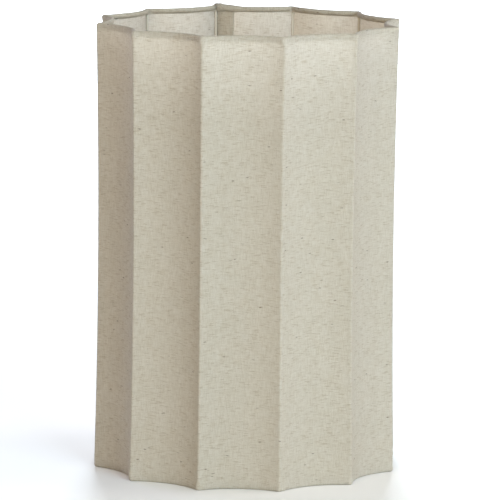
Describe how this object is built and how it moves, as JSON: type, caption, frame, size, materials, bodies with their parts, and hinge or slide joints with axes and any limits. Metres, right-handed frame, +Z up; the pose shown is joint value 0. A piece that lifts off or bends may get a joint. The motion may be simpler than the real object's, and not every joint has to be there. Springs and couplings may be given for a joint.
{
  "type": "lamp shade",
  "caption": "Tall scalloped drum lamp shade: natural linen stretched over a pointed wire frame, with a ring for a lamp holder inside near the top.",
  "frame": {"origin": "on the surface that the shade stands on, below the middle of the shade", "axes": "+Z up the shade's axis, from the bottom rim to the top rim; one point of the scallops lies on each of +X, +Y, -X and -Y, with the cloth's lapped seam beside the +Y point"},
  "size_m": [0.312, 0.312, 0.45],
  "materials": {
    "linen": "natural oatmeal linen, plain weave with slubs, matte and slightly translucent",
    "coated_wire": "beige powder coat, satin",
    "fitter_sheet": "beige powder coat on pressed steel sheet, satin"
  },
  "bodies": {
    "root": {"linen_cover": "linen", "top_ring": "coated_wire", "bottom_ring": "coated_wire", "rib_01": "coated_wire", "rib_02": "coated_wire", "rib_03": "coated_wire", "rib_04": "coated_wire", "rib_05": "coated_wire", "rib_06": "coated_wire", "rib_07": "coated_wire", "rib_08": "coated_wire", "rib_09": "coated_wire", "rib_10": "coated_wire", "rib_11": "coated_wire", "rib_12": "coated_wire", "fitter_arm_1": "coated_wire", "fitter_arm_2": "coated_wire", "fitter_arm_3": "coated_wire", "fitter_ring": "fitter_sheet"}
  },
  "joints": []
}
